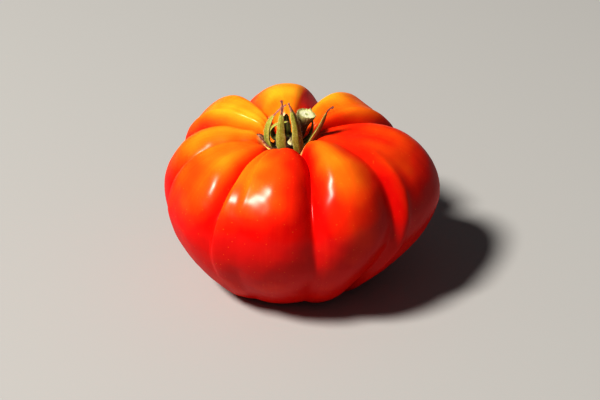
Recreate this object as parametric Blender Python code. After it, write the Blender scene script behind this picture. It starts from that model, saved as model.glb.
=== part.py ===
"""A ribbed beefsteak tomato, as picked: the fruit, the calyx on its hub, and the cut stub of the stem.

Metres, +Z up. The fruit rests on the flat spots under its lobes. The origin is on the ground under the
middle of the whole thing, and the stem's axis stands at STEM_AXIS, off the middle, because one side of the
fruit grew wider. Azimuths are in degrees round the stem's axis, from +X towards +Y; the photograph looks
along +Y.
"""

from collections import namedtuple

import bmesh
import bpy
import numpy as np

# The fruit, from its stem cavity over the shoulder and the belly to the blossom end
CAVITY_FLOOR = 0.0550
CAVITY_RADIUS = 0.0105
SHOULDER_HEIGHT = 0.0665
BELLY_RADIUS = 0.0565
BELLY_HEIGHT = 0.0360
SINK = 0.0016  # how far the ring that it rests on would reach into the ground, were it not flattened
BLOSSOM_HEIGHT = 0.0030
STEM_AXIS = (-0.0055, -0.00095)

MERIDIAN = (  # radius, height and groove depth at each control station
    (0.0, CAVITY_FLOOR, 0.0),
    (0.0050, CAVITY_FLOOR, 0.0),
    (CAVITY_RADIUS - 0.0010, CAVITY_FLOOR + 0.0005, 0.0010),
    (CAVITY_RADIUS + 0.0010, SHOULDER_HEIGHT - 0.0040, 0.0045),
    (0.0200, SHOULDER_HEIGHT, 0.0080),
    (0.0360, SHOULDER_HEIGHT - 0.0010, 0.0090),
    (0.0500, SHOULDER_HEIGHT - 0.0125, 0.0075),
    (BELLY_RADIUS, BELLY_HEIGHT, 0.0050),
    (0.0440, 0.0105, 0.0040),
    (0.0320, -0.0010, 0.0030),
    (0.0215, -SINK, 0.0018),
    (0.0110, 0.0015, 0.0006),
    (0.0, BLOSSOM_HEIGHT, 0.0),
)

# Each lobe starts at a groove. groove and groove_low are its azimuths at the shoulder and under the fruit.
# depth_top, depth and depth_low are its depths near the calyx, at the shoulder and under the fruit, against
# the meridian's; under 0 it is a low ridge. softness is the degrees over which its bottom is rounded. crest
# is the lobe's highest place, as a share of its width, and roundness is how broad that is. reach, crown and
# foot are the lobe's radius, height and lower radius against the meridian's. turn is the share of the
# meridian at which the groove starts to turn to groove_low.
GROOVE_FIELDS = "groove groove_low depth_top depth depth_low softness"
Lobe = namedtuple("Lobe", GROOVE_FIELDS + " crest roundness reach crown foot turn")
LOBES = (
    Lobe(27, 26, 1.10, 1.10, 0.90, 1.5, 0.50, 2.0, 1.03, 0.975, 1.00, 0.42),
    Lobe(41, 41, 0.12, 0.18, 0.30, 2.5, 0.50, 2.0, 1.05, 0.990, 1.00, 0.42),
    Lobe(69, 69, 1.95, 1.95, 1.30, 1.6, 0.42, 2.7, 1.01, 1.000, 1.00, 0.42),
    Lobe(117, 119, 1.25, 1.25, 1.00, 1.4, 0.50, 2.0, 1.04, 0.985, 1.00, 0.42),
    Lobe(139, 139, 0.05, 0.10, 0.10, 1.5, 0.50, 1.6, 0.99, 0.970, 1.00, 0.42),
    Lobe(151, 151, 1.10, 1.10, 0.90, 1.5, 0.50, 1.4, 0.93, 0.930, 1.00, 0.42),
    Lobe(188, 202, 0.70, 0.50, 0.25, 1.8, 0.50, 1.9, 0.94, 0.940, 1.00, 0.42),
    Lobe(206, 214, 0.10, 0.08, 0.04, 4.0, 0.50, 1.8, 0.96, 0.960, 0.975, 0.42),
    Lobe(237, 233, 0.95, 0.70, -0.10, 2.2, 0.16, 1.9, 0.98, 0.980, 0.955, 0.42),
    Lobe(249, 247, 0.04, 0.08, 0.24, 4.0, 0.40, 1.8, 0.98, 1.000, 0.935, 0.42),
    Lobe(293, 282, 1.00, 1.00, 0.40, 1.4, 0.44, 1.9, 1.01, 1.030, 0.97, 0.24),
    Lobe(325, 312, 0.05, 0.50, 0.90, 4.5, 0.52, 1.6, 1.06, 0.985, 0.92, 0.42),
    Lobe(341, 317, 0.00, 0.13, 0.10, 8.0, 0.50, 1.8, 1.13, 0.955, 0.94, 0.42),
)
CREASE = 0.93  # how steeply a lobe falls into its groove, from 0, gently, to 1, upright
NARROW = (10.0, 34.0)  # degrees: a lobe this narrow is a rib on a big one's flank, and so lies lower
NARROW_DROP = 0.22  # how far, against its grooves' depth
GROOVE_START = (0.30, 0.52)  # share of the meridian over which a groove turns from its values near the calyx
GROOVE_FLATTENING = (0.42, 0.72)  # share of the meridian over which its depth turns to depth_low
TURN_LENGTH = 0.30  # share of the meridian over which its azimuth turns to groove_low
FOOT_TURN = (0.58, 0.72)  # share over which a lobe's foot draws in
CROWN_RISE = (0.015, 0.055)  # heights between which a lobe's crown comes in
CROWN_RING = (0.006, 0.020)  # radii between which it comes in, so that the cavity's floor is level
REACH_TOP = (0.005, 0.045)  # radii between which a lobe's reach comes in, above the belly
REACH_LOW = (0.0, 0.020)  # the same, below it
SLOPE_STEP = 0.0005  # share of the meridian over which its slope is taken
FRUIT_RINGS = 38
COLUMN_ANGLE = 3.8  # degrees of a lobe for each column of faces
LEAST_COLUMNS = 6
COLUMN_CROWDING = 0.08

# The calyx: a hub on the cavity's floor and the sepals that rise from it
GAP = 0.0003  # between pieces that touch
HUB_CENTRE = (0.0008, 0.0)
HUB_RADIUS = 0.0066
HUB_HEIGHT = 0.0019
HUB_PROFILE = ((0.55, 0.00), (0.90, 0.10), (1.00, 0.45), (0.90, 0.85), (0.62, 1.00))  # shares of both
HUB_SIDES = 24
SEPAL_SIDES = 8
SEPAL_RINGS = 13
SEPAL_THICKNESS = 0.58  # against its width
LEAST_THICKNESS = 0.0008
TIP_START = 0.80
SEPAL_OUTLINE = (  # share of the length, with the dried tip from TIP_START on, and share of the full width
    (0.00, 0.75),
    (0.18, 1.00),
    (0.40, 0.92),
    (0.62, 0.70),
    (0.74, 0.52),
    (TIP_START, 0.27),
    (1.00, 0.22),
)

# Each sepal's full width, the share of its route at which its tip has dried to a thread, and its route from
# inside the hub to the end of that tip, from the stem's axis
Sepal = namedtuple("Sepal", "name width dried route")
SEPALS = (
    Sepal("left", 0.0053, 0.62, (
        (-0.0042, -0.0014, 0.0564),
        (-0.0071, -0.0021, 0.0573),
        (-0.0081, -0.0018, 0.0612),
        (-0.0079, -0.0015, 0.0655),
        (-0.0061, -0.0013, 0.0695),
        (-0.0039, -0.0009, 0.0718),
        (-0.0024, -0.0003, 0.0732),
        (-0.0004, 0.0000, 0.0743),
    )),
    Sepal("front_left", 0.0045, 0.70, (
        (-0.0016, -0.0046, 0.0564),
        (-0.0024, -0.0062, 0.0574),
        (-0.0026, -0.0064, 0.0610),
        (-0.0026, -0.0062, 0.0650),
        (-0.0026, -0.0058, 0.0690),
        (-0.0023, -0.0048, 0.0735),
        (-0.0019, -0.0040, 0.0760),
        (-0.0024, -0.0034, 0.0783),
    )),
    Sepal("front_right", 0.0045, 0.79, (
        (0.0031, -0.0044, 0.0564),
        (0.0046, -0.0059, 0.0574),
        (0.0040, -0.0063, 0.0606),
        (0.0036, -0.0062, 0.0648),
        (0.0031, -0.0057, 0.0685),
        (0.0020, -0.0046, 0.0725),
        (0.0012, -0.0036, 0.0748),
        (0.0002, -0.0028, 0.0766),
    )),
    Sepal("right", 0.0044, 0.74, (
        (0.0048, -0.0024, 0.0564),
        (0.0074, -0.0030, 0.0580),
        (0.0094, -0.0030, 0.0612),
        (0.0113, -0.0030, 0.0643),
        (0.0128, -0.0030, 0.0674),
        (0.0141, -0.0030, 0.0706),
        (0.0151, -0.0030, 0.0732),
        (0.0163, -0.0030, 0.0744),
        (0.0178, -0.0030, 0.0749),
    )),
    Sepal("right_back", 0.0028, 0.80, (
        (0.0048, 0.0016, 0.0564),
        (0.0076, 0.0020, 0.0574),
        (0.0090, 0.0022, 0.0602),
        (0.0097, 0.0022, 0.0635),
        (0.0096, 0.0022, 0.0665),
        (0.0088, 0.0022, 0.0680),
    )),
    Sepal("back_right", 0.0028, 0.80, (
        (0.0036, 0.0040, 0.0564),
        (0.0050, 0.0058, 0.0575),
        (0.0058, 0.0064, 0.0605),
        (0.0060, 0.0064, 0.0640),
        (0.0054, 0.0060, 0.0668),
    )),
    Sepal("back", 0.0034, 0.97, (
        (0.0004, 0.0044, 0.0564),
        (-0.0001, 0.0064, 0.0575),
        (-0.0005, 0.0068, 0.0610),
        (-0.0006, 0.0062, 0.0648),
        (-0.0006, 0.0052, 0.0672),
    )),
    Sepal("back_left", 0.0031, 0.97, (
        (-0.0036, 0.0034, 0.0564),
        (-0.0060, 0.0046, 0.0574),
        (-0.0066, 0.0050, 0.0600),
        (-0.0052, 0.0048, 0.0624),
        (-0.0028, 0.0040, 0.0639),
        (0.0004, 0.0030, 0.0649),
    )),
    Sepal("withered", 0.0042, 0.92, (
        (-0.0044, -0.0022, 0.0564),
        (-0.0070, -0.0028, 0.0576),
        (-0.0088, -0.0029, 0.0598),
        (-0.0105, -0.0029, 0.0622),
        (-0.0120, -0.0030, 0.0628),
    )),
)

# The stem's stub: place of its middle and radius, from its foot on the hub to the knuckle where it was cut
STEM_SIDES = 16
STEM_STATIONS = (
    (0.0026, 0.0, 0.0, 0.0028),
    (0.0034, 0.0, 0.0014, 0.0024),
    (0.0047, 0.0, 0.0050, 0.0022),
    (0.0056, 0.0, 0.0080, 0.0023),
    (0.0063, 0.0, 0.0100, 0.0030),
    (0.0069, 0.0, 0.0116, 0.0036),
    (0.0074, 0.0, 0.0130, 0.0036),
)
CUT_LEAN = 12.0  # degrees that the cut face leans towards +X
CUT_RIM = 0.80  # radius of the pulp against that of the bark
CUT_DISH = 0.0004  # how far the pulp is sunk below the bark's edge
SPIKE_AZIMUTH = 66.0
SPIKE_WIDTH = 26.0  # degrees
SPIKE_HEIGHT = 0.0009

SKIN_RED = (0.82, 0.06, 0.01, 1.0)
CALYX_GREEN = (0.24, 0.27, 0.05, 1.0)
STEM_OLIVE = (0.20, 0.20, 0.08, 1.0)


def clear_scene():
    for item in list(bpy.data.objects):
        bpy.data.objects.remove(item)


def make_material(name, colour, roughness):
    material = bpy.data.materials.new(name)
    material.use_nodes = True
    shader = material.node_tree.nodes["Principled BSDF"]
    shader.inputs["Base Color"].default_value = colour
    shader.inputs["Roughness"].default_value = roughness
    shader.inputs["Metallic"].default_value = 0.0
    material.diffuse_color = colour
    return material


def smooth(value, low, high):
    """0 up to low, 1 from high on, with no kink between."""
    share = np.clip((value - low) / (high - low), 0.0, 1.0)
    return share * share * (3.0 - 2.0 * share)


def spline(points, shares):
    """Points, at shares of its run, of the smooth curve from the first control point to the last."""
    p = np.asarray(points, float)
    p = np.vstack([2 * p[0] - p[1], p, 2 * p[-1] - p[-2]])
    spans = len(p) - 3
    run = np.clip(np.asarray(shares, float), 0.0, 1.0) * spans
    k = np.minimum(run.astype(int), spans - 1)
    f = (run - k)[:, None]
    weights = ((1 - f) ** 3, 3 * f**3 - 6 * f**2 + 4, -3 * f**3 + 3 * f**2 + 3 * f + 1, f**3)
    return sum(weight * p[k + i] for i, weight in enumerate(weights)) / 6


def around(azimuth, centres, values):
    """A value that goes smoothly from lobe to lobe round the fruit."""
    c = np.concatenate([centres - 360, centres, centres + 360])
    v = np.tile(values, 3)
    k = np.searchsorted(c, azimuth) - 1
    share = smooth((azimuth - c[k]) / (c[k + 1] - c[k]), 0.0, 1.0)
    return v[k] * (1 - share) + v[k + 1] * share


def loft(name, start, rings, end, material):
    """One closed body: rings of points joined one to the next, and each end drawn to a point."""
    shape = bmesh.new()
    loops = [[shape.verts.new(point) for point in ring] for ring in rings]
    sides = len(loops[0])
    for lower, upper in zip(loops, loops[1:]):
        for i in range(sides):
            j = (i + 1) % sides
            shape.faces.new((lower[i], lower[j], upper[j], upper[i]))
    for tip, loop in ((start, loops[0]), (end, loops[-1])):
        pole = shape.verts.new(tip)
        for i in range(sides):
            shape.faces.new((loop[i], loop[(i + 1) % sides], pole))
    bmesh.ops.recalc_face_normals(shape, faces=shape.faces)
    mesh = bpy.data.meshes.new(name)
    shape.to_mesh(mesh)
    shape.free()
    mesh.shade_smooth()
    mesh.materials.append(material)
    made = bpy.data.objects.new(name, mesh)
    bpy.context.scene.collection.objects.link(made)
    return made


def fruit_columns():
    """The lobe, and the share across it, of each column of points. Columns crowd towards the grooves."""
    lobes, shares = [], []
    for k, lobe in enumerate(LOBES):
        width = (LOBES[(k + 1) % len(LOBES)].groove - lobe.groove) % 360
        count = max(LEAST_COLUMNS, round(width / COLUMN_ANGLE))
        share = np.arange(count) / count
        lobes.append(np.full(count, k))
        shares.append(share - COLUMN_CROWDING * np.sin(2 * np.pi * share))
    return np.concatenate(lobes), np.concatenate(shares)


def meridian_shares(count):
    """Stations along the meridian, spaced between even steps of length and of the control points."""
    t = np.linspace(0.0, 1.0, 20 * count)
    radius, height, _ = spline(MERIDIAN, t).T
    length = np.concatenate([[0.0], np.cumsum(np.hypot(np.diff(radius), np.diff(height)))])
    pace = length / length[-1] + t
    return np.interp(np.linspace(0.0, pace[-1], count + 2)[1:-1], pace, t)


def fruit_ring(t, lobe, across):
    """The skin's points at share t of the meridian, one for each column."""
    values = np.array(LOBES, float)
    before, (radius, height, depth), after = spline(MERIDIAN, (t - SLOPE_STEP, t, t + SLOPE_STEP))
    run, rise = (after - before)[:2] / np.hypot(*(after - before)[:2])
    low = smooth(t, *GROOVE_FLATTENING)
    turned = smooth(t, values[:, 11], values[:, 11] + TURN_LENGTH)
    edge = values[:, 0] * (1 - turned) + values[:, 1] * turned
    out = smooth(t, *GROOVE_START)
    deep = (values[:, 2] * (1 - out) + values[:, 3] * out) * (1 - low) + values[:, 4] * low
    following = (lobe + 1) % len(LOBES)
    width = (edge[following] - edge[lobe]) % 360
    azimuth = edge[lobe] + across * width

    # A lobe's profile is near an upright ellipse, rounded off at the bottom of the groove
    half = width / 2
    crest = values[lobe, 6]
    near = half * np.where(across < crest, across / crest, (1 - across) / (1 - crest))
    softness = np.where(across < crest, values[lobe, 5], values[following, 5]) * (1 + low)
    near = half * (np.hypot(near, softness) - softness) / (np.hypot(half, softness) - softness)
    fall = np.clip(1 - near / half, 0, 1) ** values[lobe, 7]
    arc = (1 - np.sqrt(1 - CREASE * fall)) / (1 - np.sqrt(1 - CREASE))
    share = smooth(across, 0.0, 1.0)
    drop = NARROW_DROP * (1 - smooth(width, *NARROW))
    groove = (drop + (1 - drop) * arc) * (deep[lobe] * (1 - share) + deep[following] * share) * depth

    centres = edge + (np.roll(edge, -1) - edge) % 360 / 2
    reach, crown, foot = (around(azimuth, centres, values[:, column]) - 1 for column in (8, 9, 10))
    reach_share = smooth(radius, *(REACH_TOP if t < 0.5 else REACH_LOW))
    crown_share = smooth(height, *CROWN_RISE) * smooth(radius, *CROWN_RING)
    distance = radius * (1 + reach * reach_share) * (1 + foot * smooth(t, *FOOT_TURN)) + rise * groove
    level = height * (1 + crown * crown_share) - run * groove
    angle = np.radians(azimuth)
    return np.stack([distance * np.cos(angle), distance * np.sin(angle), np.maximum(level, 0.0)], axis=1)


def make_fruit():
    lobe, across = fruit_columns()
    rings = [fruit_ring(t, lobe, across) for t in meridian_shares(FRUIT_RINGS)]
    start, end = (0.0, 0.0, CAVITY_FLOOR), (0.0, 0.0, BLOSSOM_HEIGHT)
    return loft("fruit", start, rings, end, make_material("tomato_skin", SKIN_RED, 0.2))


def circle(centre, radius, sides):
    angle = np.arange(sides) * 2 * np.pi / sides
    return np.stack([centre[0] + radius * np.cos(angle), centre[1] + radius * np.sin(angle),
                     np.full(sides, centre[2])], axis=1)


def make_hub(material):
    """A low round pad, just clear of the cavity's floor."""
    foot = CAVITY_FLOOR + GAP
    rings = []
    for out, up in HUB_PROFILE:
        rings.append(circle((*HUB_CENTRE, foot + HUB_HEIGHT * up), HUB_RADIUS * out, HUB_SIDES))
    return loft("calyx", (*HUB_CENTRE, foot), rings, (*HUB_CENTRE, foot + HUB_HEIGHT), material)


def make_sepal(sepal, material):
    """A thick blade with an oval section, its flat side facing the hub's axis."""
    shares = np.linspace(0.0, 1.0, SEPAL_RINGS + 2)
    path = spline(sepal.route, shares)
    outline = np.array(SEPAL_OUTLINE)
    belly = np.array(sepal.route[2][:2]) - HUB_CENTRE
    outward = np.array([*belly / np.hypot(*belly), 0.0])
    flank = np.cross((0.0, 0.0, 1.0), outward)
    angle = np.arange(SEPAL_SIDES) * 2 * np.pi / SEPAL_SIDES
    rings = []
    for i in range(1, SEPAL_RINGS + 1):
        along = path[i + 1] - path[i - 1]
        along /= np.linalg.norm(along)
        side = flank - along * (flank @ along)
        side /= np.linalg.norm(side)
        face = np.cross(side, along)
        place = np.interp(shares[i], (0.0, sepal.dried, 1.0), (0.0, TIP_START, 1.0))
        width = sepal.width * np.interp(place, outline[:, 0], outline[:, 1])
        thickness = max(width * SEPAL_THICKNESS, LEAST_THICKNESS)
        oval = np.outer(np.cos(angle) * width / 2, side) + np.outer(np.sin(angle) * thickness / 2, face)
        rings.append(path[i] + oval)
    return loft("sepal_" + sepal.name, path[0], rings, path[-1], material)


def make_calyx():
    """The hub, with every sepal fused to it."""
    material = make_material("sepal_green", CALYX_GREEN, 0.8)
    hub = make_hub(material)
    sepals = bpy.data.collections.new("sepals")
    for sepal in SEPALS:
        made = make_sepal(sepal, material)
        bpy.context.scene.collection.objects.unlink(made)
        sepals.objects.link(made)
    union = hub.modifiers.new("union", "BOOLEAN")
    union.operation = "UNION"
    union.operand_type = "COLLECTION"
    union.collection = sepals
    graph = bpy.context.evaluated_depsgraph_get()
    fused = bpy.data.meshes.new_from_object(hub.evaluated_get(graph))
    hub.modifiers.remove(union)
    hub.data = fused
    for item in list(sepals.objects):
        bpy.data.objects.remove(item)
    bpy.data.collections.remove(sepals)
    return hub


def make_stem():
    """A leaning stub that swells to a knuckle, with a dished cut face and a splinter standing at its rim."""
    foot = CAVITY_FLOOR + GAP + HUB_HEIGHT + GAP
    angle = np.arange(STEM_SIDES) * 2 * np.pi / STEM_SIDES
    tilt = np.radians(CUT_LEAN)
    rings = []
    for x, y, up, radius in STEM_STATIONS:
        lean = tilt * up / STEM_STATIONS[-1][2]
        ring = circle((x, y, foot + up), radius, STEM_SIDES)
        ring[:, 2] -= np.cos(angle) * radius * np.tan(lean)
        rings.append(ring)
    x, y, up, radius = STEM_STATIONS[-1]
    pulp = circle((x, y, foot + up - CUT_DISH), radius * CUT_RIM, STEM_SIDES)
    pulp[:, 2] -= np.cos(angle) * radius * CUT_RIM * np.tan(tilt)
    from_spike = (np.degrees(angle) - SPIKE_AZIMUTH + 180) % 360 - 180
    rings[-1][:, 2] += SPIKE_HEIGHT * np.clip(1 - np.abs(from_spike) / SPIKE_WIDTH, 0, 1)
    rings.append(pulp)
    start = (*STEM_STATIONS[0][:2], foot)
    end = (x, y, foot + up - CUT_DISH)
    return loft("stem", start, rings, end, make_material("stem_bark", STEM_OLIVE, 0.9))


def set_on_origin(item):
    """Moves the mesh so that the stem's axis stands at its place."""
    for vertex in item.data.vertices:
        vertex.co.x += STEM_AXIS[0]
        vertex.co.y += STEM_AXIS[1]


def main():
    clear_scene()
    for item in (make_fruit(), make_calyx(), make_stem()):
        set_on_origin(item)


main()
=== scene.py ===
"""The looks of a ribbed beefsteak tomato: its skin, its haired calyx and the cut stub of its stem.

Metres, +Z up. The shapes follow the same rules as the solids of the frame, with the fine relief added.
"""

from collections import namedtuple

import bpy
import numpy as np
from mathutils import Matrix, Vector


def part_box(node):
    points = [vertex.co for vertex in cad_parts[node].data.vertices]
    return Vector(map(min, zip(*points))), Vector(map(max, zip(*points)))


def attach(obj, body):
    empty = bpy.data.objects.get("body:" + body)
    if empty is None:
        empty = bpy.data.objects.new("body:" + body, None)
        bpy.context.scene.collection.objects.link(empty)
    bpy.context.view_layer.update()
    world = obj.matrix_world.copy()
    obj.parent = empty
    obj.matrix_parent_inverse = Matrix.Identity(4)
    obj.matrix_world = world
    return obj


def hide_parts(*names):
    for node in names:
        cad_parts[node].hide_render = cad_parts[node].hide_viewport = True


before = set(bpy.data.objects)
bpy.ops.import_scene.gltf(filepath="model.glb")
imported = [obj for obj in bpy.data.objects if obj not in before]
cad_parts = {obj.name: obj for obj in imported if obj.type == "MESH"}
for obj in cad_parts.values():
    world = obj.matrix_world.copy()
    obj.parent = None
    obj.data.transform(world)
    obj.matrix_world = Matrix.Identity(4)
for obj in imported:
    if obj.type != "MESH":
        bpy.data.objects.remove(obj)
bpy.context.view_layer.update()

# The fruit, from its stem cavity over the shoulder and the belly to the blossom end
CAVITY_FLOOR = 0.0550
CAVITY_RADIUS = 0.0105
SHOULDER_HEIGHT = 0.0665
BELLY_RADIUS = 0.0565
BELLY_HEIGHT = 0.0360
SINK = 0.0016  # how far the feet reach below the ground, where they are cut flat
BLOSSOM_HEIGHT = 0.0030
STEM_AXIS = (-0.0055, -0.00095)

MERIDIAN = (  # radius, height and groove depth at each control station
    (0.0, CAVITY_FLOOR, 0.0),
    (0.0050, CAVITY_FLOOR, 0.0),
    (CAVITY_RADIUS - 0.0010, CAVITY_FLOOR + 0.0005, 0.0010),
    (CAVITY_RADIUS + 0.0010, SHOULDER_HEIGHT - 0.0040, 0.0045),
    (0.0200, SHOULDER_HEIGHT, 0.0080),
    (0.0360, SHOULDER_HEIGHT - 0.0010, 0.0090),
    (0.0500, SHOULDER_HEIGHT - 0.0125, 0.0075),
    (BELLY_RADIUS, BELLY_HEIGHT, 0.0050),
    (0.0440, 0.0105, 0.0040),
    (0.0320, -0.0010, 0.0030),
    (0.0215, -SINK, 0.0018),
    (0.0110, 0.0015, 0.0006),
    (0.0, BLOSSOM_HEIGHT, 0.0),
)

# Each lobe starts at a groove. groove and groove_low are its azimuths at the shoulder and under the fruit.
# depth_top, depth and depth_low are its depths near the calyx, at the shoulder and under the fruit, against
# the meridian's; under 0 it is a low ridge. softness is the degrees over which its bottom is rounded. crest
# is the lobe's highest place, as a share of its width, and roundness is how broad that is. reach, crown and
# foot are the lobe's radius, height and lower radius against the meridian's. turn is the share of the
# meridian at which the groove starts to turn to groove_low. ripe is the shoulder's colour, from 0, yellow,
# to 1, red.
GROOVE_FIELDS = "groove groove_low depth_top depth depth_low softness"
Lobe = namedtuple("Lobe", GROOVE_FIELDS + " crest roundness reach crown foot turn ripe")
LOBES = (
    Lobe(27, 26, 1.10, 1.10, 0.90, 1.5, 0.50, 2.0, 1.03, 0.975, 1.00, 0.42, 0.36),
    Lobe(41, 41, 0.12, 0.18, 0.30, 2.5, 0.50, 2.0, 1.05, 0.990, 1.00, 0.42, 0.10),
    Lobe(69, 69, 1.95, 1.95, 1.30, 1.6, 0.42, 2.7, 1.01, 1.000, 1.00, 0.42, 0.05),
    Lobe(117, 119, 1.25, 1.25, 1.00, 1.4, 0.50, 2.0, 1.04, 0.985, 1.00, 0.42, 0.17),
    Lobe(139, 139, 0.05, 0.10, 0.10, 1.5, 0.50, 1.6, 0.99, 0.970, 1.00, 0.42, 0.10),
    Lobe(151, 151, 1.10, 1.10, 0.90, 1.5, 0.50, 1.4, 0.93, 0.930, 1.00, 0.42, 0.15),
    Lobe(188, 202, 0.70, 0.50, 0.25, 1.8, 0.50, 1.9, 0.94, 0.940, 1.00, 0.42, 0.28),
    Lobe(206, 214, 0.10, 0.08, 0.04, 4.0, 0.50, 1.8, 0.96, 0.960, 0.975, 0.42, 0.34),
    Lobe(237, 233, 0.95, 0.70, -0.10, 2.2, 0.16, 1.9, 0.98, 0.980, 0.955, 0.42, 0.40),
    Lobe(249, 247, 0.04, 0.08, 0.24, 4.0, 0.40, 1.8, 0.98, 1.000, 0.935, 0.42, 0.68),
    Lobe(293, 282, 1.00, 1.00, 0.40, 1.4, 0.44, 1.9, 1.01, 1.030, 0.97, 0.24, 0.25),
    Lobe(325, 312, 0.05, 0.50, 0.90, 4.5, 0.52, 1.6, 1.06, 0.985, 0.92, 0.42, 0.60),
    Lobe(341, 317, 0.00, 0.13, 0.10, 8.0, 0.50, 1.8, 1.13, 0.955, 0.94, 0.42, 0.64),
)
CREASE = 0.93  # how steeply a lobe's side falls into its groove, from 0 to 1
NARROW = (10.0, 34.0)  # degrees of width over which a narrow lobe rises to its full height
NARROW_DROP = 0.22  # how much lower the narrowest is, as a share of its groove's depth
GROOVE_START = (0.30, 0.52)  # shares of the meridian over which depth_top turns to depth
GROOVE_FLATTENING = (0.42, 0.72)  # and over which depth turns to depth_low
TURN_LENGTH = 0.30  # share of the meridian that a groove takes to turn
FOOT_TURN = (0.58, 0.72)  # shares of the meridian over which foot sets in
CROWN_RISE = (0.015, 0.055)  # heights over which crown sets in
CROWN_RING = (0.006, 0.020)  # and radii over which it does
REACH_TOP = (0.005, 0.045)  # radii over which reach sets in, on the upper half
REACH_LOW = (0.0, 0.020)  # and on the lower half
SLOPE_STEP = 0.0005  # share of the meridian on each side that its slope is taken over
SKIN_RINGS = 226
COLUMN_ANGLE = 0.95  # degrees between columns of points
LEAST_COLUMNS = 14  # to a lobe
COLUMN_CROWDING = 0.08  # how much closer the columns stand at the grooves

# The skin's fine relief. Random swings are rows of height, wavelength and seed, and regular waves are rows of
# height, number in a full turn and phase.
DENTS = ((0.00010, 0.016, 11), (0.00004, 0.006, 12))
GATHERS = 46  # fine ribs round the calyx
GATHER_HEIGHT = 0.00009
GATHER_RADIUS = 0.0115
GATHER_SPREAD = 0.0045
SCAR_RADIUS = 0.0030
SCAR_WAVES = ((0.0008, 5, 0.6), (0.0005, 9, 0.0))
SCAR_EDGE = (0.0006, 0.0004)  # how far in and out from its outline it fades
CORK_HEIGHT = 0.00018
CORK_GRAIN = ((0.00016, 0.0011, 13),)
RAYS = 16  # faint ribs round the scar
RAY_HEIGHT = 0.00006
RAY_REACH = 0.010

# The skin's colours, with ripeness from 0, yellow, to 1, red
RED_FROM = 0.0675  # height at which the skin starts to redden, downwards
RED_OVER = 0.029  # height over which it turns to full red
LATE_SIDE = 185.0  # azimuth of the side that ripens last
LATE_DROP = 0.004  # how much lower its red starts
PATCHES = ((0.10, 0.030, 21), (0.05, 0.012, 22))
GROOVE_SHADE_RED = 0.15  # painted shade: how much redder a groove is beside a yellow shoulder
GROOVE_SHADE_REDDER = 0.70  # and how much more beside a red one
SHADE_BLUSH_AZIMUTH = 71.0  # middle of a red streak down the back lobe's right flank, partly painted shade
SHADE_BLUSH_EDGE = (6.0, 9.0)  # degrees from there over which it ends
SHADE_BLUSH_START = (0.016, 0.030)  # radii over which it sets in
SHADE_BLUSH_RED = 0.75
CAVITY_RED = 0.2
CREAM_SIDE = 250.0  # middle of the cream skin beside the calyx, kept to the side the light reaches
CREAM_FACING = (-0.2, 0.25)  # cosines of the angle from there over which it sets in
CREAM_RING = (0.0085, 0.0125)  # radii over which it ends
CREAM_WANDER = ((0.0012, 0.005, 23),)
CREAM_SHARE = 0.8
STREAK_RADIUS = 0.05  # the map that the streaks are drawn on: as wide as the fruit,
STREAK_LENGTH = 0.004  # and far shorter, which draws them out from stem to blossom

# The calyx
GAP = 0.0003
HUB_CENTRE = (0.0008, 0.0)
HUB_RADIUS = 0.0066
HUB_HEIGHT = 0.0019
HUB_SIDES = 96
HUB_RINGS = 26
HUB_WAVES = ((0.035, 9, 0.8),)
HUB_PROFILE = (  # shares of the hub's radius and height, from under it round its edge to its top
    (0.30, 0.0),
    (0.70, 0.0),
    (0.92, 0.10),
    (1.00, 0.40),
    (0.96, 0.75),
    (0.80, 0.95),
    (0.50, 1.0),
    (0.20, 1.0),
)
SEPAL_SIDES = 32
SEPAL_RINGS = 90
SEPAL_THICKNESS = 0.58
LEAST_THICKNESS = 0.0008
TIP_START = 0.80
SEPAL_OUTLINE = (  # share of the length, with the dried tip from TIP_START on, and share of the full width
    (0.00, 0.75),
    (0.18, 1.00),
    (0.40, 0.92),
    (0.62, 0.70),
    (0.74, 0.52),
    (TIP_START, 0.27),
    (1.00, 0.22),
)

# A sepal's section, in shares of its half width and half thickness
MIDRIB_HEIGHT = 0.08
MIDRIB_WIDTH = 0.10
FURROW_DEPTH = 0.06  # a furrow runs along each side of the midrib
FURROW_PLACE = 0.26
FURROW_WIDTH = 0.12
BLADE_EDGE = 0.35
KEEL_RISE = 0.62
CHANNEL_DEPTH = 1.15

SEPAL_TWIST = 8.0  # degrees that a sepal twists to and fro
TIP_TWIST = 30.0  # and its dried tip besides
WIDTH_BLEND = 7  # rings over which the outline's corners are rounded
DRY_LEAD = 0.03  # share of the length by which drying starts before the thin tip
DRY_FADE = 0.05
CRINKLE_HEIGHT = 0.00010
CRINKLE_LENGTH = 0.0016
# Painted shade on the sepals: their sides turned from the light are browner and darker
SHADED_SEPALS = {"front_right": 0.85, "right": 0.90}  # how brown their right sides are
SHADE_ELSEWHERE = 0.15
SHADED_SIDE = (1.0, 0.0, -0.5)
SHADE_EDGE = (-0.1, 0.9)
# Painted light in a sepal's tone: a highlight along its edges and a lighter outer face, and painted shade on
# its inner face and near its root. A withered sepal is paler of its own.
PALE_BLADE = 0.50
RIM_HIGHLIGHT = 0.25
OUTSIDE_LIGHT = 0.10
INSIDE_SHADE = -0.30
ROOT_SHADE = 0.22
ROOT_SHADE_LENGTH = 0.35
PALE_WITHERED = 0.30
INNER_HAIRS = 0.3
FIBRE_RADIUS = 0.0022
FIBRE_LENGTH = 0.0016

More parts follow.
